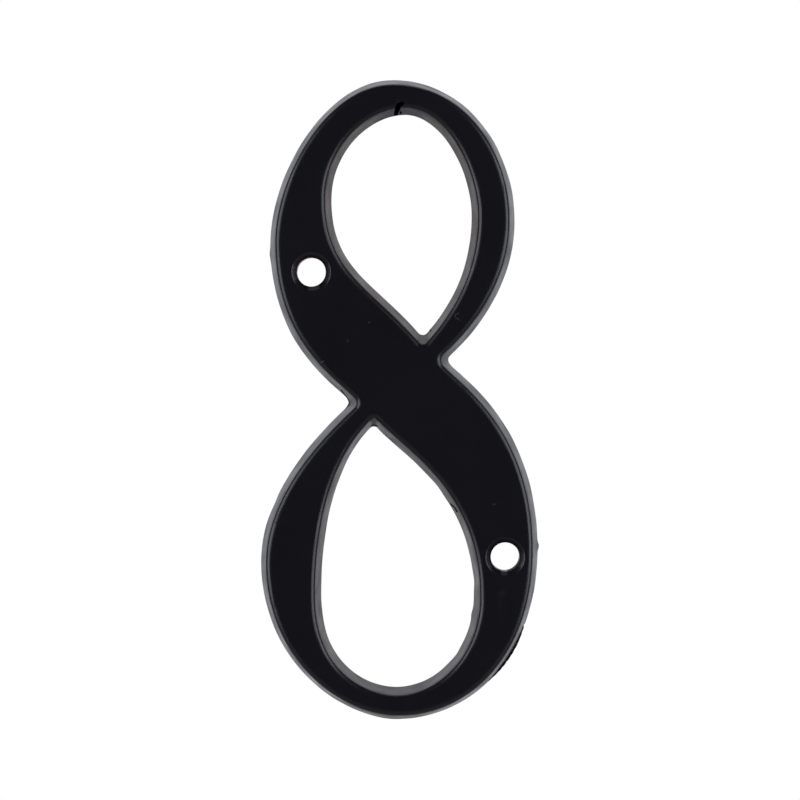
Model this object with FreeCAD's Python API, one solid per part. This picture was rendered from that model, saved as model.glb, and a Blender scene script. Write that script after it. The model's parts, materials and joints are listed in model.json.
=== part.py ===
import FreeCAD, Part
import math
import os

# Frame: millimetres, X to the right and Z up as the numeral is read. The flat back lies on Y = 0,
# the face looks towards -Y, and the origin is on the back at half the numeral's height.

# Overall form of the casting. The walls lean in towards the face by an angle in degrees, and the edge
# between each wall and the face is a round of this radius, laid in bands across
HEIGHT = 102.0
THICKNESS = 4.5
WALL_LEAN = 13.0
FACE_EDGE_ROUND = 0.95
EDGE_BANDS = 5

# Bowls at the back, each as a width about its own centre line
UPPER_BOWL_WIDTH = 39.0
UPPER_BOWL_CENTRE_X = -1.2
LOWER_BOWL_WIDTH = 44.2
LOWER_BOWL_CENTRE_X = -0.1

# Where the outside outline stands upright, from the top or the foot, and where it lies level
UPPER_BOWL_RIGHT_BELOW_TOP = 22.3
UPPER_BOWL_LEFT_BELOW_TOP = 26.0
LOWER_BOWL_LEFT_ABOVE_FOOT = 25.2
LOWER_BOWL_RIGHT_ABOVE_FOOT = 27.3
TOP_X = -1.15
FOOT_X = -0.15

# Stroke widths at the back, from the outside outline to the counters
TOP_STROKE = 5.55
UPPER_RIGHT_STROKE = 6.85
UPPER_LEFT_STROKE = 9.75
LOWER_LEFT_STROKE = 9.6
FOOT_STROKE = 5.1
LOWER_RIGHT_STROKE = 10.2

# Where the outlines of the counters stand upright, from the top or the foot, and where they lie level
UPPER_COUNTER_RIGHT_BELOW_TOP = 21.6
UPPER_COUNTER_TOP_X = 0.7
UPPER_COUNTER_LEFT_BELOW_TOP = 19.2
LOWER_COUNTER_LEFT_ABOVE_FOOT = 19.9
LOWER_COUNTER_FOOT_X = -0.5
LOWER_COUNTER_RIGHT_ABOVE_FOOT = 19.9

# Crossing of the broad spine and the thin stroke; slopes are in degrees from level
CROSSING_X = -0.25
CROSSING_ABOVE_MIDDLE = 3.0
SPINE_WIDTH = 15.3
SPINE_SLOPE = -43.5
THIN_STROKE_WIDTH = 5.0
THIN_STROKE_SLOPE = 42.0

# Angles at which the outlines head into and out of the four corners of the crossing, in degrees
RIGHT_NOTCH_IN_ANGLE = 133.5
RIGHT_NOTCH_OUT_ANGLE = 42.0
LEFT_NOTCH_IN_ANGLE = 311.5
LEFT_NOTCH_OUT_ANGLE = 226.5
UPPER_TIP_IN_ANGLE = 310.5
UPPER_TIP_OUT_ANGLE = 50.0
LOWER_TIP_IN_ANGLE = 130.5
LOWER_TIP_OUT_ANGLE = 224.0

# Corner radii at the back, and at the face before its edge is rounded
RIGHT_NOTCH_BACK_RADIUS = 0.8
RIGHT_NOTCH_FACE_RADIUS = 1.4
LEFT_NOTCH_BACK_RADIUS = 0.45
LEFT_NOTCH_FACE_RADIUS = 1.1
UPPER_TIP_BACK_RADIUS = 0.95
UPPER_TIP_FACE_RADIUS = 0.95
LOWER_TIP_BACK_RADIUS = 0.8
LOWER_TIP_FACE_RADIUS = 0.6

# Fullness of each curved span at its two ends: how far the curve keeps its end's heading, as a
# share of the straight distance between the ends
RIM_FULLNESS = [
    (0.285, 0.40),    # right notch to upper right
    (0.365, 0.41),    # upper right to top
    (0.335, 0.33),    # top to upper left
    (0.58, 0.135),    # upper left to left notch
    (0.075, 0.445),   # left notch to lower left
    (0.465, 0.295),   # lower left to foot
    (0.31, 0.51),     # foot to lower right
    (0.58, 0.12),     # lower right to right notch
]
UPPER_COUNTER_FULLNESS = [
    (0.195, 0.49),    # tip to right
    (0.33, 0.33),     # right to top
    (0.29, 0.455),    # top to left
    (0.415, 0.45),    # left to tip
]
LOWER_COUNTER_FULLNESS = [
    (0.18, 0.56),     # tip to left
    (0.63, 0.21),     # left to foot
    (0.315, 0.47),    # foot to right
    (0.52, 0.195),    # right to tip
]

# Screw holes, each a little to the right of the middle of its broad stroke
SCREW_HOLE_DIAMETER = 4.6
COUNTERSINK_DIAMETER = 6.2
COUNTERSINK_ANGLE = 90.0
HOLE_EDGE_ROUND = 0.2
UPPER_HOLE_BELOW_TOP = 30.65
UPPER_HOLE_OFF_MIDDLE = 0.18
LOWER_HOLE_ABOVE_FOOT = 26.15
LOWER_HOLE_OFF_MIDDLE = 0.07

# Thin crescent of flash that the mould left along the back edge, on the right of the lower bowl
FLASH_THICKNESS = 0.3
FLASH_TOP_ABOVE_FOOT = 15.0
FLASH_END_ABOVE_FOOT = 6.0
FLASH_REACH = 0.35

# How far cutting tools run past the faces they cut
OVERRUN = 1.0

# Distance within which two places count as the same
SAME_PLACE = 0.0001


def in_plane(x, z, depth=0.0):
    """A point given by its place on the numeral and its depth in front of the back."""
    return FreeCAD.Vector(x, -depth, z)


def heading(degrees):
    return in_plane(math.cos(math.radians(degrees)), math.sin(math.radians(degrees)))


def left_of(direction):
    return in_plane(-direction.z, direction.x)


def miter(before, after):
    """Step that moves a point by one unit off both of the lines that meet there."""
    first = left_of(before)
    second = left_of(after)
    return (first + second) * (1.0 / (1.0 + first.dot(second)))


def smooth(x, z, degrees):
    """A node through which the outline keeps its heading."""
    return {"place": in_plane(x, z), "in": degrees, "out": degrees, "radii": (0.0, 0.0)}


def corner(place, degrees_in, degrees_out, back_radius, face_radius):
    """A node where two spans meet in a corner that is rounded at the back and at the face."""
    return {"place": place, "in": degrees_in, "out": degrees_out, "radii": (back_radius, face_radius)}


def half_turn(node):
    """Half the angle through which the outline turns at a node, in radians."""
    turn = (node["out"] - node["in"] + 180.0) % 360.0 - 180.0
    return math.radians(abs(turn)) / 2.0


def wall_inset(depth):
    """How far the leaning wall, or its run on past the rounded edge, has stepped in at a depth."""
    return depth * math.tan(math.radians(WALL_LEAN))


def edge_turn():
    """Degrees through which the surface turns from the wall, over the rounded edge, to the face."""
    return 90.0 - WALL_LEAN


def back_level():
    """Level of the back, where the outlines have their named sizes."""
    return {"depth": 0.0, "inset": 0.0}


def edge_level(rise, radius):
    """Level on the rounded edge where its surface faces this many degrees forward of sideways.

    A radius larger than the round's own gives the poles that stand off its surface.
    """
    reach = FACE_EDGE_ROUND * math.tan(math.radians(edge_turn()) / 2.0)
    centre_depth = THICKNESS - FACE_EDGE_ROUND
    centre_inset = wall_inset(THICKNESS) + reach
    return {
        "depth": centre_depth + radius * math.sin(math.radians(rise)),
        "inset": centre_inset - radius * math.cos(math.radians(rise)),
    }


def outline(nodes, fullness, side, level):
    """Closed outline at one level, as a list of curves that each hold their poles and weights.

    The walls lean into the metal, so the outline steps that way by the level's inset. Each span is one
    cubic curve whose control lines are stepped, and each corner is a round arc tangent to both spans.
    The metal is on the left of the outline where side is 1, and on its right where side is -1.
    """
    step = side * level["inset"]
    lift = in_plane(0.0, 0.0, level["depth"])
    apexes = []
    cuts = []
    for node in nodes:
        bisector = miter(heading(node["in"]), heading(node["out"]))
        back_radius, face_radius = node["radii"]
        radius = back_radius + (face_radius - back_radius) * level["depth"] / THICKNESS
        radius += level["inset"] - wall_inset(level["depth"])
        apexes.append(node["place"] + bisector * step + lift)
        cuts.append(radius * math.tan(half_turn(node)))
    curves = []
    for index, node in enumerate(nodes):
        after = (index + 1) % len(nodes)
        leave = heading(node["out"])
        arrive = heading(nodes[after]["in"])
        length = node["place"].distanceToPoint(nodes[after]["place"])
        near_start = node["place"] + leave * (fullness[index][0] * length)
        near_end = nodes[after]["place"] - arrive * (fullness[index][1] * length)
        across = (near_end - near_start).normalize()
        poles = [
            apexes[index] + leave * cuts[index],
            near_start + miter(leave, across) * step + lift,
            near_end + miter(across, arrive) * step + lift,
            apexes[after] - arrive * cuts[after],
        ]
        curves.append((poles, [1.0, 1.0, 1.0, 1.0]))
        if half_turn(nodes[after]) > 0.0:
            away = heading(nodes[after]["out"])
            arc = [poles[-1], apexes[after], apexes[after] + away * cuts[after]]
            curves.append((arc, [1.0, math.cos(half_turn(nodes[after])), 1.0]))
    return curves


def wire(curves):
    edges = []
    for poles, weights in curves:
        curve = Part.BezierCurve()
        curve.setPoles(poles)
        for index, weight in enumerate(weights):
            curve.setWeight(index + 1, weight)
        edges.append(curve.toShape())
    return Part.Wire(edges)


def skin(rows, row_weights):
    """Faces that run along an outline, each between the same curve's copies at successive levels."""
    faces = []
    for strips in zip(*rows):
        surface = Part.BezierSurface()
        surface.increase(len(strips[0][0]) - 1, len(rows) - 1)
        for row, (poles, weights) in enumerate(strips):
            for index, (pole, weight) in enumerate(zip(poles, weights)):
                surface.setPole(index + 1, row + 1, pole, weight * row_weights[row])
        faces.append(surface.toShape())
    return faces


def crossing_corners():
    """Corners of the crossing: where the edges of the spine meet the edges of the thin stroke."""
    centre = in_plane(CROSSING_X, CROSSING_ABOVE_MIDDLE)
    squareness = math.sin(math.radians(THIN_STROKE_SLOPE - SPINE_SLOPE))
    along_spine = heading(SPINE_SLOPE) * (THIN_STROKE_WIDTH / 2.0 / squareness)
    along_thin = heading(THIN_STROKE_SLOPE) * (SPINE_WIDTH / 2.0 / squareness)
    return {
        "right notch": centre + along_spine + along_thin,
        "upper tip": centre - along_spine + along_thin,
        "left notch": centre - along_spine - along_thin,
        "lower tip": centre + along_spine - along_thin,
    }


def rim_nodes(corners):
    """Nodes of the outside outline, starting at the right notch and going over the top."""
    top = HEIGHT / 2.0
    foot = -HEIGHT / 2.0
    upper_right = UPPER_BOWL_CENTRE_X + UPPER_BOWL_WIDTH / 2.0
    upper_left = UPPER_BOWL_CENTRE_X - UPPER_BOWL_WIDTH / 2.0
    lower_right = LOWER_BOWL_CENTRE_X + LOWER_BOWL_WIDTH / 2.0
    lower_left = LOWER_BOWL_CENTRE_X - LOWER_BOWL_WIDTH / 2.0
    return [
        corner(corners["right notch"], RIGHT_NOTCH_IN_ANGLE, RIGHT_NOTCH_OUT_ANGLE,
               RIGHT_NOTCH_BACK_RADIUS, RIGHT_NOTCH_FACE_RADIUS),
        smooth(upper_right, top - UPPER_BOWL_RIGHT_BELOW_TOP, 90.0),
        smooth(TOP_X, top, 180.0),
        smooth(upper_left, top - UPPER_BOWL_LEFT_BELOW_TOP, 270.0),
        corner(corners["left notch"], LEFT_NOTCH_IN_ANGLE, LEFT_NOTCH_OUT_ANGLE,
               LEFT_NOTCH_BACK_RADIUS, LEFT_NOTCH_FACE_RADIUS),
        smooth(lower_left, foot + LOWER_BOWL_LEFT_ABOVE_FOOT, 270.0),
        smooth(FOOT_X, foot, 0.0),
        smooth(lower_right, foot + LOWER_BOWL_RIGHT_ABOVE_FOOT, 90.0),
    ]


def upper_counter_nodes(corners):
    """Nodes of the upper counter, starting at its tip and going up the right side."""
    top = HEIGHT / 2.0
    right = UPPER_BOWL_CENTRE_X + UPPER_BOWL_WIDTH / 2.0 - UPPER_RIGHT_STROKE
    left = UPPER_BOWL_CENTRE_X - UPPER_BOWL_WIDTH / 2.0 + UPPER_LEFT_STROKE
    return [
        corner(corners["upper tip"], UPPER_TIP_IN_ANGLE, UPPER_TIP_OUT_ANGLE,
               UPPER_TIP_BACK_RADIUS, UPPER_TIP_FACE_RADIUS),
        smooth(right, top - UPPER_COUNTER_RIGHT_BELOW_TOP, 90.0),
        smooth(UPPER_COUNTER_TOP_X, top - TOP_STROKE, 180.0),
        smooth(left, top - UPPER_COUNTER_LEFT_BELOW_TOP, 270.0),
    ]


def lower_counter_nodes(corners):
    """Nodes of the lower counter, starting at its tip and going down the left side."""
    foot = -HEIGHT / 2.0
    right = LOWER_BOWL_CENTRE_X + LOWER_BOWL_WIDTH / 2.0 - LOWER_RIGHT_STROKE
    left = LOWER_BOWL_CENTRE_X - LOWER_BOWL_WIDTH / 2.0 + LOWER_LEFT_STROKE
    return [
        corner(corners["lower tip"], LOWER_TIP_IN_ANGLE, LOWER_TIP_OUT_ANGLE,
               LOWER_TIP_BACK_RADIUS, LOWER_TIP_FACE_RADIUS),
        smooth(left, foot + LOWER_COUNTER_LEFT_ABOVE_FOOT, 270.0),
        smooth(LOWER_COUNTER_FOOT_X, foot + FOOT_STROKE, 0.0),
        smooth(right, foot + LOWER_COUNTER_RIGHT_ABOVE_FOOT, 90.0),
    ]


def edge_rows(nodes, fullness, side):
    """Outlines along the rounded edge from the wall to the face.

    By turns they lie on the borders of the bands and stand off the middle of a band as its poles.
    """
    half_band = edge_turn() / EDGE_BANDS / 2.0
    radii = [FACE_EDGE_ROUND, FACE_EDGE_ROUND / math.cos(math.radians(half_band))]
    rows = []
    for count in range(2 * EDGE_BANDS + 1):
        level = edge_level(WALL_LEAN + count * half_band, radii[count % 2])
        rows.append(outline(nodes, fullness, side, level))
    return rows


def body(outlines):
    """Solid casting without its holes: leaning walls, rounded face edges, and the flat back and face.

    Each band of the round is a true arc across, so it runs on smoothly from the wall to the face.
    """
    arc_weight = math.cos(math.radians(edge_turn() / EDGE_BANDS / 2.0))
    faces = []
    back_wires = []
    face_wires = []
    for nodes, fullness, side in outlines:
        back = outline(nodes, fullness, side, back_level())
        rows = edge_rows(nodes, fullness, side)
        faces += skin([back, rows[0]], [1.0, 1.0])
        for band in range(EDGE_BANDS):
            faces += skin(rows[2 * band:2 * band + 3], [1.0, arc_weight, 1.0])
        back_wires.append(wire(back))
        face_wires.append(wire(rows[-1]))
    faces.append(Part.makeFace(back_wires, "Part::FaceMakerBullseye"))
    faces.append(Part.makeFace(face_wires, "Part::FaceMakerBullseye"))
    shell = Part.Shell(faces)
    shell.sewShape()
    solid = Part.Solid(shell)
    if solid.Volume < 0.0:
        solid.reverse()
    return solid


def on_face(edge):
    return all(abs(vertex.Y + THICKNESS) < SAME_PLACE for vertex in edge.Vertexes)


def middle_of_stroke(z, rim, counter, rim_x, counter_x):
    """Point at a height that is as far from the rim as from the counter, found by halving."""
    near_rim = rim_x
    near_counter = counter_x
    while abs(near_counter - near_rim) > SAME_PLACE:
        x = (near_rim + near_counter) / 2.0
        spot = Part.Vertex(in_plane(x, z))
        if spot.distToShape(rim)[0] < spot.distToShape(counter)[0]:
            near_rim = x
        else:
            near_counter = x
    return in_plane(near_rim, z)


def screw_hole(centre):
    """Cutter of one screw hole: a plain bore whose mouth at the face is countersunk."""
    bore_radius = SCREW_HOLE_DIAMETER / 2.0
    mouth_radius = COUNTERSINK_DIAMETER / 2.0
    slope = math.tan(math.radians(COUNTERSINK_ANGLE / 2.0))
    sink_depth = (mouth_radius - bore_radius) / slope
    mouth = centre + in_plane(0.0, 0.0, THICKNESS)
    back = centre + in_plane(0.0, 0.0, -OVERRUN)
    forward = in_plane(0.0, 0.0, 1.0)
    bore = Part.makeCylinder(bore_radius, THICKNESS + 2.0 * OVERRUN, back, forward)
    sink = Part.makeCone(bore_radius, mouth_radius + OVERRUN * slope, sink_depth + OVERRUN,
                         mouth - forward * sink_depth, forward)
    return bore.fuse(sink)


def mouth_edges(shape, centres):
    """Circles where the countersinks meet the face."""
    found = []
    for edge in shape.Edges:
        if not on_face(edge) or not isinstance(edge.Curve, Part.Circle):
            continue
        for centre in centres:
            mouth = centre + in_plane(0.0, 0.0, THICKNESS)
            if edge.Curve.Center.distanceToPoint(mouth) < SAME_PLACE:
                found.append(edge)
    return found


def rightmost_at(rim, z):
    """Point of the rim farthest to the right at a height."""
    across = Part.makeLine(in_plane(0.0, z), in_plane(HEIGHT, z))
    return max((vertex.Point for vertex in rim.section(across).Vertexes), key=lambda point: point.x)


def flash(rim):
    """Thin crescent along the right of the back edge, bounded by an arc that stands proud of the rim."""
    top = rightmost_at(rim, FLASH_TOP_ABOVE_FOOT - HEIGHT / 2.0)
    bottom = rightmost_at(rim, FLASH_END_ABOVE_FOOT - HEIGHT / 2.0)
    between = (top + bottom) * 0.5
    outward = left_of(bottom - top).normalize()
    across = Part.makeLine(between, between + outward * (top - bottom).Length)
    crest = rim.section(across).Vertexes[0].Point + outward * FLASH_REACH
    inner = between - outward * FLASH_REACH
    edges = [
        Part.Arc(top, crest, bottom).toShape(),
        Part.makeLine(bottom, inner),
        Part.makeLine(inner, top),
    ]
    return Part.Face(Part.Wire(edges)).extrude(in_plane(0.0, 0.0, FLASH_THICKNESS))


def numeral_eight():
    """The whole casting: the pierced and rounded body, its two screw holes and the flash."""
    corners = crossing_corners()
    rim_outline = (rim_nodes(corners), RIM_FULLNESS, 1)
    upper_outline = (upper_counter_nodes(corners), UPPER_COUNTER_FULLNESS, -1)
    lower_outline = (lower_counter_nodes(corners), LOWER_COUNTER_FULLNESS, -1)
    casting = body([rim_outline, upper_outline, lower_outline])

    rim = wire(outline(*rim_outline, back_level()))
    upper_counter = wire(outline(*upper_outline, back_level()))
    lower_counter = wire(outline(*lower_outline, back_level()))
    upper_left = UPPER_BOWL_CENTRE_X - UPPER_BOWL_WIDTH / 2.0
    lower_right = LOWER_BOWL_CENTRE_X + LOWER_BOWL_WIDTH / 2.0
    upper_middle = middle_of_stroke(HEIGHT / 2.0 - UPPER_HOLE_BELOW_TOP, rim, upper_counter,
                                    upper_left, upper_left + UPPER_LEFT_STROKE)
    lower_middle = middle_of_stroke(LOWER_HOLE_ABOVE_FOOT - HEIGHT / 2.0, rim, lower_counter,
                                    lower_right, lower_right - LOWER_RIGHT_STROKE)
    centres = [
        upper_middle + in_plane(UPPER_HOLE_OFF_MIDDLE, 0.0),
        lower_middle + in_plane(LOWER_HOLE_OFF_MIDDLE, 0.0),
    ]
    for centre in centres:
        casting = casting.cut(screw_hole(centre))
    casting = casting.makeFillet(HOLE_EDGE_ROUND, mouth_edges(casting, centres))

    return casting.fuse(flash(rim))


os.makedirs("parts", exist_ok=True)
numeral = numeral_eight()
numeral.exportStep("parts/numeral_eight.step")
print("numeral_eight: solids", len(numeral.Solids), "valid", numeral.isValid(),
      "volume", round(numeral.Volume, 2), "faces", len(numeral.Faces))
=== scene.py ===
import json
import math

import bmesh
import bpy
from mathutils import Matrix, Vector, noise


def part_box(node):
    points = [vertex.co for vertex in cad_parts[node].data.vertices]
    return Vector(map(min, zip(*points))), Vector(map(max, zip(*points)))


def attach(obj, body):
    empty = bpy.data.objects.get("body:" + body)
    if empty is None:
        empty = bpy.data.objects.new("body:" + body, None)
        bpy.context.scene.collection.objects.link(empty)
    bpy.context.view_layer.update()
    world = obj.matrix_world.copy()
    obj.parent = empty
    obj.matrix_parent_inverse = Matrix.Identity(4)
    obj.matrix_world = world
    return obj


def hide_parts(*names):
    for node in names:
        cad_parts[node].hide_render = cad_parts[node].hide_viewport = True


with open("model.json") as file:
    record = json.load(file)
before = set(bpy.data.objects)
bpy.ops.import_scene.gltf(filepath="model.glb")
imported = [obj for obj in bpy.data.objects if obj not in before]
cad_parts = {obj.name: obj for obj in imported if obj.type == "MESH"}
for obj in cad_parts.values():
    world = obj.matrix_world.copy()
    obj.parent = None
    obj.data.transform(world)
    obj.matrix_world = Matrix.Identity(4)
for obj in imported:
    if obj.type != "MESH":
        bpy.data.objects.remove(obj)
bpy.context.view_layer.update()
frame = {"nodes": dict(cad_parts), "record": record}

bl_info = {
    "name": "Cast Door Number",
    "version": (1, 0, 0),
    "blender": (4, 5, 0),
    "location": "3D View > Sidebar > Door Number",
    "description": "A cast door number eight in a satin black coat, with its stage",
    "category": "Object",
}

NODE = "numeral_eight"
BODY = "root"

# Lowest and highest corner of the numeral. Its back lies on the highest Y and its face on the lowest
LOW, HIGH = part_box(NODE)
THICKNESS = HIGH.y - LOW.y

# Centres of the screw holes, across and up
HOLES = {
    mount["name"]: (mount["pos_m"][0], mount["pos_m"][2])
    for mount in frame["record"]["mounts"] if mount["kind"] == "bore"
}

# Distances from a hole's centre to which its countersink reaches, and within which no wall is moved
COUNTERSINK_REACH = 0.0031
HOLE_REACH = 0.0035

# Height of the middle of the lower bowl
LOWER_BOWL_CENTRE_Z = -0.0250

# Counters as ellipses that take in their walls and stay clear of the outside walls, each by its centre
# across and up and its half width and half height, in metres, and by how worn the coat in it is
COUNTERS = {
    "upper": (-0.0005, 0.0270, 0.0150, 0.0205, 1.0),
    "lower": (-0.0010, -0.0265, 0.0150, 0.0205, 0.6),
}

# Places through the thickness: where the flat back ends, where the countersinks begin, and where the
# rounded edge turns into the face
BACK_END_Y = -0.00002
COUNTERSINK_START_Y = -0.0035
FACE_START_Y = -0.0040

# Distance within which two places on the casting count as the same, in metres
SAME_PLACE = 1e-6

# How far a facet's direction has to point forwards or backwards for it to count as flat, and how little
# for it to count as upright. A place on a wall points to the side at least by the last of them
FLAT_FACING = 0.9999
UPRIGHT_FACING = 0.05
WALL_FACING = 0.2

# Edges that turn by more than this stay sharp
SHARP_TURN = math.radians(35.0)

# Two facets that turn by less than the first of these are joined into one, and its corners may be off a
# right angle by less than the second
JOINED_TURN = math.radians(30.0)
JOINED_CORNER_TURN = math.radians(179.0)

# Uneven places along the foot of the walls, each by its place across and up, how far it stands out of
# the metal, or stays behind where that is negative, and half its length, in metres
UNEVEN_PLACES = {
    "spur of flash on the right": (0.0221, -0.0233, 0.00025, 0.0006),
    "swelling on the left": (-0.0207, 0.0232, 0.00015, 0.0010),
    "hollow on the lower left": (-0.0201, -0.0162, -0.00009, 0.0015),
    "web in the left notch": (-0.0081, -0.0004, 0.00032, 0.0006),
    "web in the right notch": (0.0077, 0.0062, 0.00013, 0.0007),
    "swelling at the foot": (-0.0019, -0.0510, 0.00010, 0.0025),
    "hollow in the lower counter": (0.0117, -0.0289, -0.00014, 0.0014),
    "swelling in the lower counter": (0.0115, -0.0342, 0.00012, 0.0007),
    "hollow beside the lower hole": (0.0059, -0.0138, -0.00010, 0.0015),
    "hollow at the counter's foot": (0.0088, -0.0406, -0.00010, 0.0012),
}

# Flash on the lower right: the places where its outer edge is trimmed back, written as the uneven places
FLASH_TRIMS = {
    "upper end": (0.0196, -0.0362, 0.00014, 0.0012),
    "upper length": (0.0179, -0.0404, 0.00022, 0.0024),
    "lower length": (0.0156, -0.0434, 0.00014, 0.0014),
}

# Nick in the wall at the top of the upper counter: its lower and upper end, across and up, half its width
# at each of them, and the distance from the back over which it runs out, in metres
NICK_LOWER_END = (-0.00066, 0.04555)
NICK_UPPER_END = (-0.00015, 0.04675)
NICK_LOWER_HALF_WIDTH = 0.00036
NICK_UPPER_HALF_WIDTH = 0.00050
NICK_RUN_OUT = 0.001

# How far around the nick's middle line the facets are divided, and how many cuts each of their edges gets
NICK_REACH = 0.0018
NICK_CUTS = 3

# Scratches and specks in the coat of the face, each by its points across and up and half its width
SCRATCHES = {
    "hooked scratch": (
        ((0.00931, 0.01386), (0.00879, 0.01362), (0.00873, 0.01320), (0.00947, 0.01272)), 0.00009,
    ),
    "tick on the left edge": (((-0.01262, 0.00594), (-0.01210, 0.00626)), 0.00011),
    "speck above the crossing": (((-0.00489, 0.01235), (-0.00486, 0.01239)), 0.00015),
    "speck on the spine": (((-0.00832, 0.00950), (-0.00828, 0.00947)), 0.00016),
    "speck above the lower hole": (((0.01480, -0.01646), (0.01504, -0.01642)), 0.00012),
    "chip on the upper counter": (((0.01236, 0.02520), (0.01240, 0.02500)), 0.00011),
}

# Dark pits in the walls and their upper edges, and painted shade: black in the nick's recess and painted
# shadow lines at the walls' edges in the left notch and the lower tip, written in the same way
PITS_AND_PAINTED_SHADE = {
    # Painted shade in the nick's recess, also in its middle and at its head below
    "nick": ((NICK_LOWER_END, NICK_UPPER_END), NICK_LOWER_HALF_WIDTH),
    "painted shade in the middle of the nick": (((-0.00042, 0.04625), (-0.00015, 0.04675)), 0.00054),
    "painted shade at the head of the nick": (((-0.00015, 0.04680), (0.00030, 0.04695)), 0.00044),
    "pit beside the nick": (((0.00012, 0.04575), (0.00014, 0.04571)), 0.00022),
    "gouge in the lower counter": (
        ((0.00809, -0.01657), (0.00872, -0.01711), (0.00909, -0.01776)), 0.00016,
    ),
    # Painted shadow lines at the walls' edges in the left notch and in the lower tip
    "upper shadow line in the left notch": (((-0.00940, 0.00165), (-0.00818, -0.00005)), 0.00012),
    "middle shadow line in the left notch": (((-0.00818, -0.00005), (-0.00816, -0.00075)), 0.00014),
    "lower shadow line in the left notch": (((-0.00816, -0.00075), (-0.00880, -0.00145)), 0.00010),
    "shadow line in the lower tip": (((-0.00470, -0.00420), (-0.00430, -0.00395), (-0.00350, -0.00410)), 0.00010),
    "speck in the upper counter": (((0.00611, 0.01283), (0.00613, 0.01279)), 0.00010),
    "speck by the upper tip": (((0.00478, 0.01122), (0.00486, 0.01112)), 0.00019),
}

# Smudge on the face under the lower hole, by the ends of its middle line and half its width
SMUDGE = ((0.0163, -0.0308), (0.0162, -0.0346), 0.0009)

# Share of a mark's half width at which it begins to fade
MARK_CORE = 0.5

# Places on one side of each screw hole where the coat has worn through: the direction across and up, the
# spread, the distances from the hole's centre between which they end, and the strength
WORN_SIDES = {
    "upper_screw_hole": ((-0.15, 0.99), 1.1, (0.0024, 0.0029), 1.0),
    "lower_screw_hole": ((0.35, -0.94), 1.1, (0.0024, 0.0029), 1.0),
}

# Painted highlights on one side of each countersink, its lower side that faces up towards the light from
# above, written in the same way; at the lower hole the rim there is also worn
GLINT_SIDES = {
    "upper_screw_hole": ((0.15, -0.99), 0.1, (0.0028, 0.0031), 1.0),
    "lower_screw_hole": ((-0.06, -1.0), 0.035, (0.0026, 0.0031), 0.95),
}

# Share of the spread within which such a place is at its full strength
SIDE_CORE = 0.1

# Painted cool shade at the far ends of the counters, darkening the walls there that face up or down and
# mirror less
# light: where each patch ends to the sides, and how far from the middle of the numeral, up or down, they
# begin
COOL_SHADE_SIDES = (0.0025, 0.0050)
COOL_SHADE_START = 0.0350

# Height over which a painted cool sheen comes up on the wall at the top of the numeral, and how strong it is
COOL_SHEEN_HEIGHTS = (0.0440, 0.0495)
COOL_SHEEN_SHARE = 0.6

# Uneven tone and uneven flow of the coat: how often each changes in a metre, the tone's darkest and
# lightest share of the coat's colour, and what both add to the roughness, the flow more on the walls
TONE_CHANGES = 60.0
FLOW_CHANGES = 250.0
TONE_SHARES = (0.8, 1.2)
TONE_ROUGHNESS = 0.06
FLOW_ROUGHNESS = 0.04
WALL_FLOW_ROUGHNESS = 0.30

# Height of the fine skin as a share of the height of the uneven flow, and how finely it is broken up
SKIN_SHARE = 0.3
SKIN_DETAIL = 1.0

# Levels of the uneven flow between which the painted cool sheen on the top wall, the worn places and the
# smudge come up
COOL_SHEEN_FLOW = (0.35, 0.6)
WORN_FLOW = (0.25, 0.5)
SMUDGE_FLOW = (0.4, 0.6)

# How strongly each trace scuffs the coat, and how strongly the painted highlights lighten the countersinks
SCRATCH_SCUFF = 0.4
SMUDGE_SCUFF = 0.05
GLINT_SCUFF = 0.5
COUNTERSINK_SCUFF = 0.04

# How much rougher the coat is on scratches, specks, the smudge, the countersinks and the painted highlights,
# and in the patches of painted cool shade
SCUFF_ROUGHNESS = 0.2
COOL_SHADE_ROUGHNESS = 0.08

# How strongly the coat and the bare metal bend light, and how rough the bare metal is
COAT_BEND = 1.5
BARE_BEND = 1.15
BARE_ROUGHNESS = 0.6

# Colour in the pits and in the painted shade, as a share of the coat's colour
PIT_AND_SHADE_SHARE = 0.3

# Colours of the backdrop as the camera sees it, of the light from the room and of the lamps
WHITE = (1.0, 1.0, 1.0)
ROOM_COLOUR = (0.93, 0.945, 1.0)
LAMP_COLOUR = (0.92, 0.945, 1.0)

# Lit backdrop and soft top light: the angle by which the middle of each rises from straight behind, and
# the cosines of the angles off that middle between which it fades in
BACKDROP_RISE = math.radians(12.0)
BACKDROP_EDGE = (0.38, 0.95)
TOP_LIGHT_RISE = math.radians(55.0)
TOP_LIGHT_EDGE = (0.88, 0.95)

# Level of the dim room in front, as a share of the backdrop's
ROOM_LEVEL = 0.09

# Floor: half its width in metres, how much of the light it gives back, what it adds for the camera, and
# the level at which the numeral mirrors it
FLOOR_HALF_WIDTH = 0.5
FLOOR_GIVES_BACK = 0.8
FLOOR_GLOW = 0.75
FLOOR_MIRRORED = 0.285

# Width of the camera's sensor, in millimetres
SENSOR_WIDTH = 36.0


class CastingSettings(bpy.types.PropertyGroup):
    """What the mould and later handling left on the casting"""

    smoothing_levels: bpy.props.IntProperty(
        name="Smoothing levels",
        description="How many times the casting's facets are divided into finer ones",
        default=2, min=0, max=3,
    )
    ripple_height: bpy.props.FloatProperty(
        name="Ripple height",
        description="How far the mould's unevenness moves the foot of the walls",
        default=0.00005, min=0.0, max=0.0005, precision=5, subtype="DISTANCE", unit="LENGTH",
    )
    ripple_length: bpy.props.FloatProperty(
        name="Ripple length",
        description="Distance from one uneven place on the walls to the next",
        default=0.004, min=0.0005, max=0.05, precision=4, subtype="DISTANCE", unit="LENGTH",
    )
    nick_depth: bpy.props.FloatProperty(
        name="Nick depth",
        description="Depth of the nick in the wall at the top of the upper counter",
        default=0.0006, min=0.0, max=0.002, precision=5, subtype="DISTANCE", unit="LENGTH",
    )


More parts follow.
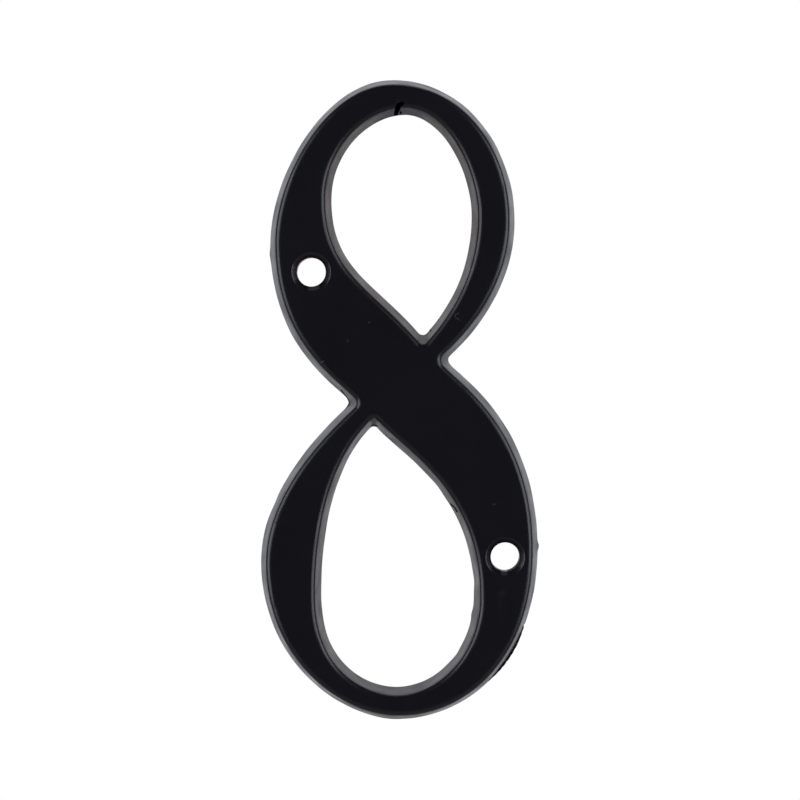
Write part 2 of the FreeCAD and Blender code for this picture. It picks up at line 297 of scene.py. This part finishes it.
class CoatSettings(bpy.types.PropertyGroup):
    """Colour and finish of the sprayed coat, with the colours of the shade, sheen and highlights painted on
    it
    """

    colour: bpy.props.FloatVectorProperty(
        name="Coat colour",
        description="Colour of the black coat",
        default=(0.0022, 0.0019, 0.0050), min=0.0, max=1.0, size=3, subtype="COLOR",
    )
    thin_colour: bpy.props.FloatVectorProperty(
        name="Thin coat colour",
        description="Colour where the coat is thin and some of the warm metal shows through",
        default=(0.030, 0.014, 0.011), min=0.0, max=1.0, size=3, subtype="COLOR",
    )
    # Painted shade and sheen: this cool colour darkens the walls at the far ends of the counters as painted
    # shade and tints the wall at the top of the numeral as a painted sheen
    cool_shade_and_sheen_colour: bpy.props.FloatVectorProperty(
        name="Painted cool shade and sheen colour",
        description="Colour of the painted sheen at the top of the numeral and of the painted shade at both ends of its counters",
        default=(0.011, 0.009, 0.040), min=0.0, max=1.0, size=3, subtype="COLOR",
    )
    # Also the colour of the painted highlights on the lower side of the countersinks
    scratch_and_glint_colour: bpy.props.FloatVectorProperty(
        name="Scratch and glint colour",
        description="Colour of scratches and specks in the coat, and of the painted highlights in the countersinks",
        default=(0.090, 0.085, 0.100), min=0.0, max=1.0, size=3, subtype="COLOR",
    )
    roughness: bpy.props.FloatProperty(
        name="Roughness",
        description="How far the satin coat spreads what it mirrors",
        default=0.34, min=0.0, max=1.0, subtype="FACTOR",
    )
    counter_roughness: bpy.props.FloatProperty(
        name="Counter roughness",
        description="How much rougher the coat is on the walls of the counters",
        default=0.085, min=0.0, max=1.0, subtype="FACTOR",
    )
    countersink_gloss: bpy.props.FloatProperty(
        name="Countersink gloss",
        description="How much smoother the coat is where it pooled in the countersinks",
        default=0.10, min=0.0, max=1.0, subtype="FACTOR",
    )
    upper_worn_colour: bpy.props.FloatVectorProperty(
        name="Upper worn colour",
        description="Colour of the metal where the coat has worn through at the upper screw hole",
        default=(0.035, 0.003, 0.009), min=0.0, max=1.0, size=3, subtype="COLOR",
    )
    lower_worn_colour: bpy.props.FloatVectorProperty(
        name="Lower worn colour",
        description="Colour of the metal where the coat has worn through at the lower screw hole",
        default=(0.022, 0.011, 0.009), min=0.0, max=1.0, size=3, subtype="COLOR",
    )
    grain_size: bpy.props.FloatProperty(
        name="Grain size",
        description="Size of the fine skin on the sprayed coat",
        default=0.0006, min=0.0001, max=0.01, precision=5, subtype="DISTANCE", unit="LENGTH",
    )
    grain_height: bpy.props.FloatProperty(
        name="Grain height",
        description="Height of the fine skin on the sprayed coat",
        default=0.000007, min=0.0, max=0.001, precision=6, subtype="DISTANCE", unit="LENGTH",
    )


class StageSettings(bpy.types.PropertyGroup):
    """Places of the camera, the floor and the lamps"""

    camera_distance: bpy.props.FloatProperty(
        name="Camera distance",
        description="Distance of the camera in front of the back of the numeral",
        default=0.55, min=0.1, max=5.0, subtype="DISTANCE", unit="LENGTH",
    )
    camera_height: bpy.props.FloatProperty(
        name="Camera height",
        description="Height of the camera over the middle of the numeral",
        default=0.0094, min=-1.0, max=1.0, precision=4, subtype="DISTANCE", unit="LENGTH",
    )
    camera_side: bpy.props.FloatProperty(
        name="Camera side",
        description="How far the camera stands to the right of the middle of the numeral",
        default=-0.0004, min=-1.0, max=1.0, precision=4, subtype="DISTANCE", unit="LENGTH",
    )
    lens: bpy.props.FloatProperty(
        name="Lens",
        description="Focal length of the camera's lens, in millimetres on a 36 mm sensor",
        default=155.0, min=10.0, max=400.0, unit="CAMERA",
    )
    floor_drop: bpy.props.FloatProperty(
        name="Floor drop",
        description="Room between the foot of the numeral and the floor",
        default=0.25, min=0.0, max=1.0, subtype="DISTANCE", unit="LENGTH",
    )
    lamp_power: bpy.props.FloatProperty(
        name="Lamp power",
        description="Power of each side lamp",
        default=4.7, min=0.0, max=100.0, unit="POWER",
    )
    lamp_width: bpy.props.FloatProperty(
        name="Lamp width",
        description="Width of each side lamp",
        default=0.55, min=0.01, max=3.0, subtype="DISTANCE", unit="LENGTH",
    )
    lamp_height: bpy.props.FloatProperty(
        name="Lamp height",
        description="Height of each side lamp, from its lower to its upper edge",
        default=0.8, min=0.01, max=3.0, subtype="DISTANCE", unit="LENGTH",
    )
    lamp_side: bpy.props.FloatProperty(
        name="Lamp side",
        description="How far each lamp hangs to the side of the numeral",
        default=0.74, min=0.0, max=3.0, subtype="DISTANCE", unit="LENGTH",
    )
    lamp_front: bpy.props.FloatProperty(
        name="Lamp front",
        description="How far each lamp hangs in front of the numeral",
        default=0.40, min=-3.0, max=3.0, subtype="DISTANCE", unit="LENGTH",
    )
    lamp_rise: bpy.props.FloatProperty(
        name="Lamp rise",
        description="How far each lamp hangs above the middle of the numeral",
        default=0.08, min=-3.0, max=3.0, subtype="DISTANCE", unit="LENGTH",
    )
    top_light: bpy.props.FloatProperty(
        name="Top light",
        description="Level of the soft light that comes from above and behind",
        default=1.0, min=0.0, max=2.0,
    )


class Link:
    """A shader socket that can be written into sums, products and comparisons."""

    def __init__(self, tree, socket):
        self.tree = tree
        self.socket = socket

    def maths(self, operation, *values):
        """Make a Math node for an operation on some values."""
        return self.tree.node("ShaderNodeMath", {"operation": operation}, dict(enumerate(values)))

    def __add__(self, other):
        return self.maths("ADD", self, other)

    def __radd__(self, other):
        return self.maths("ADD", other, self)

    def __sub__(self, other):
        return self.maths("SUBTRACT", self, other)

    def __rsub__(self, other):
        return self.maths("SUBTRACT", other, self)

    def __mul__(self, other):
        return self.maths("MULTIPLY", self, other)

    def __rmul__(self, other):
        return self.maths("MULTIPLY", other, self)

    def __truediv__(self, other):
        return self.maths("DIVIDE", self, other)

    def __gt__(self, other):
        return self.maths("GREATER_THAN", self, other)

    def __lt__(self, other):
        return self.maths("LESS_THAN", self, other)

    def higher(self, other):
        """The higher one of two values."""
        return self.maths("MAXIMUM", self, other)

    def root(self):
        return self.maths("SQRT", self)

    def size(self):
        """The value without its sign."""
        return self.maths("ABSOLUTE", self)

    def smooth_step(self, low, high):
        """0 below low, 1 above high and a soft rise between them."""
        return self.map_range("SMOOTHSTEP", low, high)

    def ramp(self, low, high):
        """0 below low, 1 above high and an even rise between them."""
        return self.map_range("LINEAR", low, high)

    def map_range(self, kind, low, high):
        """The value's place between low and high, from 0 to 1."""
        settings = {"interpolation_type": kind}
        values = {"Value": self, "From Min": low, "From Max": high}
        return self.tree.node("ShaderNodeMapRange", settings, values)


class Tree:
    """Nodes of one material or world, made one by one."""

    def __init__(self, owner):
        owner.use_nodes = True
        self.tree = owner.node_tree
        self.tree.nodes.clear()

    def node(self, kind, settings=None, values=None, output=0):
        """Make a node, set it up, feed its sockets and return one of its outputs."""
        made = self.tree.nodes.new(kind)
        for name, value in (settings or {}).items():
            setattr(made, name, value)
        for name, value in (values or {}).items():
            if isinstance(value, Link):
                self.tree.links.new(value.socket, made.inputs[name])
            else:
                made.inputs[name].default_value = value
        return Link(self, made.outputs[output]) if made.outputs else made

    def noise(self, place, scale, detail=2.0, roughness=0.5):
        """Value that changes from place to place, around a half."""
        values = {"Vector": place, "Scale": scale, "Detail": detail, "Roughness": roughness}
        return self.node("ShaderNodeTexNoise", {}, values, output="Fac")

    def part(self, place, axis):
        """One of the three parts of a place or direction."""
        return self.node("ShaderNodeSeparateXYZ", {}, {"Vector": place}, output=axis)

    def blend(self, share, first, second):
        """Colour that goes from the first to the second with the share."""
        values = {"Factor": share, "A": first, "B": second}
        return self.node("ShaderNodeMix", {"data_type": "RGBA"}, values, output="Result")


def opaque(colour, strength=1.0):
    """A colour, made stronger or weaker, with the full cover that a shader socket asks for."""
    return (*(strength * part for part in colour), 1.0)


def near_line(across, up, start, end, half_width):
    """1 on a straight mark between two places, and 0 beyond half its width from it."""
    run_x = end[0] - start[0]
    run_z = end[1] - start[1]
    from_x = across - start[0]
    from_z = up - start[1]
    share = ((from_x * run_x + from_z * run_z) / (run_x * run_x + run_z * run_z)).ramp(0.0, 1.0)
    off_x = from_x - share * run_x
    off_z = from_z - share * run_z
    distance = (off_x * off_x + off_z * off_z).root()
    return 1.0 - distance.smooth_step(MARK_CORE * half_width, half_width)


def marks_mask(across, up, marks):
    """1 on any of the marks."""
    mask = 0.0
    for points, half_width in marks.values():
        for start, end in zip(points, points[1:]):
            line = near_line(across, up, start, end, half_width)
            mask = line.higher(mask)
    return mask


def counters_mask(across, up):
    """How worn the coat is within the ellipses that take in the walls of the counters, 0 elsewhere."""
    mask = 0.0
    for centre_x, centre_z, half_width, half_height, wear in COUNTERS.values():
        x_share = (across - centre_x) / half_width
        z_share = (up - centre_z) / half_height
        mask = mask + wear * ((x_share * x_share + z_share * z_share) < 1.0)
    return mask


def hole_side(across, up, centre, side, spread, ends):
    """1 on the side of a screw hole that lies in a direction, 0 beyond the ends and on its other sides."""
    from_x = across - centre[0]
    from_z = up - centre[1]
    distance = (from_x * from_x + from_z * from_z).root()
    agreement = (from_x * side[0] + from_z * side[1]) / distance
    on_side = agreement.smooth_step(1.0 - spread, 1.0 - SIDE_CORE * spread)
    return on_side * (1.0 - distance.smooth_step(*ends))


def hole_sides_mask(across, up, sides):
    """How strong the marks of a table, worn places and painted highlights alike, are on one side of each
    screw hole, 0 elsewhere.
    """
    mask = 0.0
    for name, (side, spread, ends, strength) in sides.items():
        mask = mask + strength * hole_side(across, up, HOLES[name], side, spread, ends)
    return mask


def countersinks_mask(across, up):
    """1 within the reach of the screw holes' countersinks."""
    mask = 0.0
    for centre_x, centre_z in HOLES.values():
        from_x = across - centre_x
        from_z = up - centre_z
        mask = mask + ((from_x * from_x + from_z * from_z) < COUNTERSINK_REACH ** 2)
    return mask


class CoatPlaces:
    """Noises and masks that tell where on the casting its coat differs, and where shade, sheen and highlights
    are painted on it, each from 0 to 1.
    """

    def __init__(self, tree, settings):
        place = tree.node("ShaderNodeTexCoord", output="Object")
        across = tree.part(place, "X")
        depth = tree.part(place, "Y")
        up = tree.part(place, "Z")

        self.skin = tree.noise(place, 1.0 / settings.grain_size, detail=SKIN_DETAIL)
        self.flow = tree.noise(place, FLOW_CHANGES)
        self.tone = tree.noise(place, TONE_CHANGES)

        off_back = depth < BACK_END_Y
        on_face = depth < FACE_START_Y
        in_hole = countersinks_mask(across, up)
        far_end = (up.size() > COOL_SHADE_START) * (1.0 - across.size().smooth_step(*COOL_SHADE_SIDES))
        self.upper_half = up > 0.0
        self.on_wall = (1.0 - on_face) * off_back
        self.countersunk = in_hole * (depth < COUNTERSINK_START_Y)
        self.thin = counters_mask(across, up) * self.on_wall * (1.0 - in_hole)
        # Painted cool shade on the walls at the far ends of the counters
        self.painted_cool_shade = self.thin * far_end
        # Painted cool sheen on the wall at the top of the numeral, streaked by the uneven flow
        self.painted_cool_sheen = up.smooth_step(*COOL_SHEEN_HEIGHTS) * self.on_wall * self.flow.smooth_step(*COOL_SHEEN_FLOW)

        # Painted highlights on the up-facing lower side of each countersink, where light from above would
        # catch it; at the lower hole also a worn rim
        painted_glint = hole_sides_mask(across, up, GLINT_SIDES)
        worn = hole_sides_mask(across, up, WORN_SIDES) * (1.0 - painted_glint)
        scratches = marks_mask(across, up, SCRATCHES) * on_face
        smudge = near_line(across, up, *SMUDGE) * self.flow.smooth_step(*SMUDGE_FLOW) * on_face
        # Pale scuffs in scratches, specks and the smudge, together with the painted highlights of the
        # countersinks
        scuffs_and_glints = (SCRATCH_SCUFF * scratches).higher(SMUDGE_SCUFF * smudge).higher(GLINT_SCUFF * painted_glint)
        self.scuffs_and_glints = scuffs_and_glints.higher(COUNTERSINK_SCUFF * self.countersunk)
        self.worn = worn * self.flow.smooth_step(*WORN_FLOW) * off_back
        # Pits, together with painted shade in the nick and painted shadow lines at the walls' edges
        self.pits_and_shade = marks_mask(across, up, PITS_AND_PAINTED_SHADE) * off_back


def coat_colour(tree, places, settings):
    """Black with an uneven tone, warmer where it is thin, with painted cool shade at the far ends of the
    counters, a painted cool sheen on the top wall, pale scratches and specks, and painted highlights in the
    countersinks.
    """
    darkest, lightest = TONE_SHARES
    # The cool colour is painted shade at the counters' far ends and a painted sheen on the top wall
    cool = places.painted_cool_shade.higher(COOL_SHEEN_SHARE * places.painted_cool_sheen)
    colour = tree.blend(places.tone, opaque(settings.colour, darkest), opaque(settings.colour, lightest))
    colour = tree.blend(places.thin, colour, opaque(settings.thin_colour))
    colour = tree.blend(cool, colour, opaque(settings.cool_shade_and_sheen_colour))
    return tree.blend(places.scuffs_and_glints, colour, opaque(settings.scratch_and_glint_colour))


def coat_roughness(places, settings):
    """Satin and slightly uneven, duller in the counters and on scuffs, glossier in the countersinks."""
    tone = places.tone - 0.5
    flow = places.flow - 0.5
    roughness = settings.roughness + TONE_ROUGHNESS * tone + FLOW_ROUGHNESS * flow
    roughness = roughness + WALL_FLOW_ROUGHNESS * flow * places.on_wall
    roughness = roughness + settings.counter_roughness * places.thin
    roughness = roughness + COOL_SHADE_ROUGHNESS * places.painted_cool_shade
    roughness = roughness + SCUFF_ROUGHNESS * places.scuffs_and_glints
    return roughness - settings.countersink_gloss * places.countersunk


def sprayed_coat(tree, places, settings):
    """The coat itself, with its fine skin."""
    skin = tree.node("ShaderNodeBump", {}, {
        "Strength": 1.0, "Distance": settings.grain_height, "Height": SKIN_SHARE * places.skin + places.flow,
    })
    return tree.node("ShaderNodeBsdfPrincipled", {}, {
        "Base Color": coat_colour(tree, places, settings),
        "Roughness": coat_roughness(places, settings),
        "Metallic": 0.0,
        "IOR": COAT_BEND,
        "Normal": skin,
    })


def bare_metal(tree, places, settings):
    """Dull metal where the coat has worn through, in another colour at each screw hole."""
    lower_colour = opaque(settings.lower_worn_colour)
    upper_colour = opaque(settings.upper_worn_colour)
    return tree.node("ShaderNodeBsdfPrincipled", {}, {
        "Base Color": tree.blend(places.upper_half, lower_colour, upper_colour),
        "Roughness": BARE_ROUGHNESS,
        "Metallic": 0.0,
        "IOR": BARE_BEND,
    })


def coat_material(settings):
    """Satin black coat with a fine sprayed skin, uneven gloss, scratches, small pitting and worn places, with
    painted shade in the nick and at some walls' edges, painted highlights in the countersinks, and painted
    cool shade and sheen on some walls.
    """
    material = bpy.data.materials.new("satin_black_coat")
    tree = Tree(material)
    places = CoatPlaces(tree, settings)
    coat = sprayed_coat(tree, places, settings)
    bare = bare_metal(tree, places, settings)
    # Dull near-black with no sheen, for the pits and for the painted shade
    pit = tree.node("ShaderNodeBsdfDiffuse", {}, {"Color": opaque(settings.colour, PIT_AND_SHADE_SHARE)})
    shader = tree.node("ShaderNodeMixShader", {}, {0: places.worn, 1: coat, 2: bare})
    shader = tree.node("ShaderNodeMixShader", {}, {0: places.pits_and_shade, 1: shader, 2: pit})
    tree.node("ShaderNodeOutputMaterial", {}, {"Surface": shader})
    return material


def from_nick(place):
    """Distance of a place from the nick's middle line, and how far along that line it lies, from 0 to 1."""
    run = Vector(NICK_UPPER_END) - Vector(NICK_LOWER_END)
    offset = Vector((place.x, place.z)) - Vector(NICK_LOWER_END)
    share = min(1.0, max(0.0, offset.dot(run) / run.length_squared))
    return (offset - share * run).length, share


def bulge(place, centre_x, centre_z, height, half_length):
    """Height of a soft bulge at a place, which falls off around the bulge's centre."""
    distance = math.hypot(place.x - centre_x, place.z - centre_z)
    return height * math.exp(-(distance / half_length) ** 2)


def is_level(edge):
    """Whether an edge runs along the casting at one depth."""
    first, second = edge.verts
    return abs(first.co.y - second.co.y) < SAME_PLACE


def is_flat(face):
    """Whether a face belongs to the flat face or back of the casting."""
    return abs(face.normal.y) > FLAT_FACING


class DOORNUMBER_OT_casting(bpy.types.Operator):
    """Refine the casting and give it the traces of its mould and of handling"""

    bl_idname = "door_number.casting"
    bl_label = "Cast numeral"

    def execute(self, context):
        scene = context.scene
        settings = scene.door_number_casting
        finer = self.finer_mesh(context, settings.smoothing_levels)
        shape = bmesh.new()
        shape.from_mesh(finer)
        bpy.data.meshes.remove(finer)
        self.divide_around_nick(shape)
        self.trim_flash(shape)
        self.ripple_walls(shape, settings)
        self.refill_back(shape)
        self.cut_nick(shape, settings.nick_depth)
        mesh = bpy.data.meshes.new("cast_numeral")
        shape.to_mesh(mesh)
        shape.free()
        piece = bpy.data.objects.new("cast_numeral", mesh)
        scene.collection.objects.link(piece)
        weighting = piece.modifiers.new("true_normals", "WEIGHTED_NORMAL")
        weighting.keep_sharp = True
        mesh.materials.append(coat_material(scene.door_number_coat))
        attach(piece, BODY)
        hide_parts(NODE)
        return {"FINISHED"}

    def finer_mesh(self, context, levels):
        """Copy of the built numeral whose walls and edges are divided into finer facets."""
        shape = bmesh.new()
        shape.from_mesh(frame["nodes"][NODE].data)
        bmesh.ops.remove_doubles(shape, verts=shape.verts, dist=SAME_PLACE)
        bmesh.ops.join_triangles(
            shape, faces=[face for face in shape.faces if not is_flat(face)],
            cmp_seam=False, cmp_sharp=False, cmp_uvs=False,
            angle_face_threshold=JOINED_TURN, angle_shape_threshold=JOINED_CORNER_TURN,
        )
        crease = shape.edges.layers.float.new("crease_edge")
        for edge in shape.edges:
            within_flat = all(is_flat(face) for face in edge.link_faces)
            sharp = edge.calc_face_angle(0.0) > SHARP_TURN
            if sharp or (is_level(edge) and not within_flat):
                edge[crease] = 1.0
            edge.smooth = not sharp
        for face in shape.faces:
            face.smooth = True
        coarse = bpy.data.meshes.new("coarse_casting")
        shape.to_mesh(coarse)
        shape.free()
        form = bpy.data.objects.new("coarse_casting", coarse)
        context.scene.collection.objects.link(form)
        rounding = form.modifiers.new("finer_facets", "SUBSURF")
        rounding.levels = levels
        rounding.render_levels = levels
        ready = form.evaluated_get(context.evaluated_depsgraph_get())
        finer = bpy.data.meshes.new_from_object(ready)
        bpy.data.objects.remove(form)
        bpy.data.meshes.remove(coarse)
        return finer

    def divide_around_nick(self, shape):
        """Divide the facets in and around the nick, so that they can follow its form."""
        near = []
        for edge in shape.edges:
            middle = (edge.verts[0].co + edge.verts[1].co) / 2.0
            distance = from_nick(middle)[0]
            if distance < NICK_REACH and not all(is_flat(face) for face in edge.link_faces):
                near.append(edge)
        bmesh.ops.subdivide_edges(shape, edges=near, cuts=NICK_CUTS, use_grid_fill=True)

    def trim_flash(self, shape):
        """Move the outer edge of the flash, whose sides stand upright, back towards the casting."""
        upright = [face for face in shape.faces if abs(face.normal.y) < UPRIGHT_FACING]
        for vertex in {corner for face in upright for corner in face.verts}:
            inward = Vector((-vertex.co.x, 0.0, LOWER_BOWL_CENTRE_Z - vertex.co.z)).normalized()
            for trim in FLASH_TRIMS.values():
                vertex.co += inward * bulge(vertex.co, *trim)

    def ripple_walls(self, shape, settings):
        """Move the walls in and out along their foot, less and less towards the face."""
        moves = []
        for vertex in shape.verts:
            place = vertex.co
            outward = Vector((vertex.normal.x, 0.0, vertex.normal.z))
            if outward.length < WALL_FACING:
                continue
            if any(math.hypot(place.x - x, place.z - z) < HOLE_REACH for x, z in HOLES.values()):
                continue
            wave = noise.noise(Vector((place.x, 0.0, place.z)) / settings.ripple_length)
            move = settings.ripple_height * wave
            for uneven in UNEVEN_PLACES.values():
                move += bulge(place, *uneven)
            share = 1.0 - (HIGH.y - place.y) / THICKNESS
            moves.append((vertex, outward.normalized() * move * share))
        for vertex, move in moves:
            vertex.co += move

    def refill_back(self, shape):
        """Give the flat back new facets, which follow its moved outline without folds."""
        on_back = {vertex for vertex in shape.verts if abs(vertex.co.y - HIGH.y) < SAME_PLACE}
        back = [face for face in shape.faces if on_back.issuperset(face.verts)]
        bmesh.ops.delete(shape, geom=back, context="FACES")
        outline = [edge for edge in shape.edges if edge.is_boundary]
        bmesh.ops.triangle_fill(shape, edges=outline, use_beauty=True, normal=(0.0, 1.0, 0.0))

    def cut_nick(self, shape, depth):
        """Press the nick into the wall above the upper counter, leaving the back edge whole."""
        for vertex in shape.verts:
            distance, share = from_nick(vertex.co)
            half_width = NICK_LOWER_HALF_WIDTH + (NICK_UPPER_HALF_WIDTH - NICK_LOWER_HALF_WIDTH) * share
            if distance < half_width:
                in_front = min(1.0, (HIGH.y - vertex.co.y) / NICK_RUN_OUT)
                vertex.co.z += depth * in_front * (1.0 - (distance / half_width) ** 2)


class DOORNUMBER_OT_stage(bpy.types.Operator):
    """Set the numeral before a white backdrop, with soft lamps and the camera"""

    bl_idname = "door_number.stage"
    bl_label = "Stage"

    def execute(self, context):
        settings = context.scene.door_number_stage
        self.lay_floor(context, LOW.z - settings.floor_drop)
        self.light_world(context, settings.top_light)
        self.place_camera(context, settings)
        self.hang_lamp(context, "left_lamp", settings, -1.0)
        self.hang_lamp(context, "right_lamp", settings, 1.0)
        context.scene.view_settings.view_transform = "Standard"
        return {"FINISHED"}

    def lay_floor(self, context, height):
        """Lay a flat floor at a height, below what the camera sees."""
        mesh = bpy.data.meshes.new("floor")
        shape = bmesh.new()
        bmesh.ops.create_grid(shape, x_segments=1, y_segments=1, size=FLOOR_HALF_WIDTH)
        bmesh.ops.translate(shape, verts=shape.verts, vec=(0.0, 0.0, height))
        shape.to_mesh(mesh)
        shape.free()
        floor = bpy.data.objects.new("floor", mesh)
        context.scene.collection.objects.link(floor)
        mesh.materials.append(self.floor_material())

    def floor_material(self):
        """White paper that glows where the camera sees it and is dim where the numeral mirrors it."""
        material = bpy.data.materials.new("white_floor")
        tree = Tree(material)
        seen = tree.node("ShaderNodeLightPath", output="Is Camera Ray")
        mirrored = tree.node("ShaderNodeLightPath", output="Is Glossy Ray")
        paper = tree.node("ShaderNodeBsdfDiffuse", {}, {"Color": opaque(WHITE, FLOOR_GIVES_BACK)})
        glow = tree.node("ShaderNodeEmission", {}, {"Color": opaque(WHITE), "Strength": FLOOR_GLOW * seen})
        lit = tree.node("ShaderNodeAddShader", {}, {0: paper, 1: glow})
        dim = tree.node("ShaderNodeEmission", {}, {"Color": opaque(WHITE), "Strength": FLOOR_MIRRORED})
        shader = tree.node("ShaderNodeMixShader", {}, {0: mirrored, 1: lit, 2: dim})
        tree.node("ShaderNodeOutputMaterial", {}, {"Surface": shader})
        return material

    def light_world(self, context, top_light):
        """White backdrop behind the numeral, soft light over it and a dim room in front."""
        world = bpy.data.worlds.new("studio")
        context.scene.world = world
        tree = Tree(world)
        direction = tree.node("ShaderNodeTexCoord", output="Generated")
        behind = self.towards(tree, direction, BACKDROP_RISE).smooth_step(*BACKDROP_EDGE)
        above = self.towards(tree, direction, TOP_LIGHT_RISE).smooth_step(*TOP_LIGHT_EDGE)
        seen = tree.node("ShaderNodeLightPath", output="Is Camera Ray")
        level = seen.higher(ROOM_LEVEL + ((1.0 - ROOM_LEVEL) * behind).higher(top_light * above))
        colour = tree.blend(seen, opaque(ROOM_COLOUR), opaque(WHITE))
        backdrop = tree.node("ShaderNodeBackground", {}, {"Color": colour, "Strength": level})
        tree.node("ShaderNodeOutputWorld", {}, {"Surface": backdrop})

    def towards(self, tree, direction, rise):
        """Cosine between a direction and the one that rises by an angle from straight behind."""
        axis = (0.0, math.cos(rise), math.sin(rise))
        settings = {"operation": "DOT_PRODUCT"}
        return tree.node("ShaderNodeVectorMath", settings, {0: direction, 1: axis}, output="Value")

    def place_camera(self, context, settings):
        """Stand the camera in front of the numeral, turned towards the middle of its back."""
        data = bpy.data.cameras.new("camera")
        data.lens = settings.lens
        data.sensor_width = SENSOR_WIDTH
        camera = bpy.data.objects.new("camera", data)
        context.scene.collection.objects.link(camera)
        camera.location = (settings.camera_side, -settings.camera_distance, settings.camera_height)
        camera.rotation_mode = "QUATERNION"
        camera.rotation_quaternion = (-camera.location).to_track_quat("-Z", "Y")
        context.scene.camera = camera

    def hang_lamp(self, context, name, settings, side):
        """Hang a soft lamp to the left or right of the numeral, turned towards its middle."""
        middle = (LOW + HIGH) / 2.0
        data = bpy.data.lights.new(name, "AREA")
        data.shape = "RECTANGLE"
        data.energy = settings.lamp_power
        data.color = LAMP_COLOUR
        data.size = settings.lamp_width
        data.size_y = settings.lamp_height
        lamp = bpy.data.objects.new(name, data)
        context.scene.collection.objects.link(lamp)
        lamp.location = middle + Vector((side * settings.lamp_side, -settings.lamp_front, settings.lamp_rise))
        lamp.rotation_mode = "QUATERNION"
        lamp.rotation_quaternion = (middle - lamp.location).to_track_quat("-Z", "Y")


class DOORNUMBER_PT_panel(bpy.types.Panel):
    """Steps of the door number in the order in which they are taken"""

    bl_idname = "DOORNUMBER_PT_panel"
    bl_label = "Door Number"
    bl_space_type = "VIEW_3D"
    bl_region_type = "UI"
    bl_category = "Door Number"

    def draw(self, context):
        for step in STEPS:
            box = self.layout.box()
            for group in STEPS[step]:
                settings = getattr(context.scene, group)
                for name in settings.__annotations__:
                    box.prop(settings, name)
            box.operator(step.bl_idname)


# Groups of settings by their names in the scene, and the steps with the groups that each one shows
GROUPS = {
    "door_number_casting": CastingSettings,
    "door_number_coat": CoatSettings,
    "door_number_stage": StageSettings,
}
STEPS = {
    DOORNUMBER_OT_casting: ("door_number_casting", "door_number_coat"),
    DOORNUMBER_OT_stage: ("door_number_stage",),
}


def register():
    """Make the settings, the steps and the panel known to the program."""
    for name, group in GROUPS.items():
        bpy.utils.register_class(group)
        setattr(bpy.types.Scene, name, bpy.props.PointerProperty(type=group))
    for step in STEPS:
        bpy.utils.register_class(step)
    bpy.utils.register_class(DOORNUMBER_PT_panel)


def unregister():
    """Take back all that register did, in the opposite order."""
    bpy.utils.unregister_class(DOORNUMBER_PT_panel)
    for step in reversed(STEPS):
        bpy.utils.unregister_class(step)
    for name, group in reversed(GROUPS.items()):
        delattr(bpy.types.Scene, name)
        bpy.utils.unregister_class(group)


def main():
    """Make the numeral and its stage."""
    register()
    bpy.ops.door_number.casting()
    bpy.ops.door_number.stage()


if __name__ == "__main__":
    main()
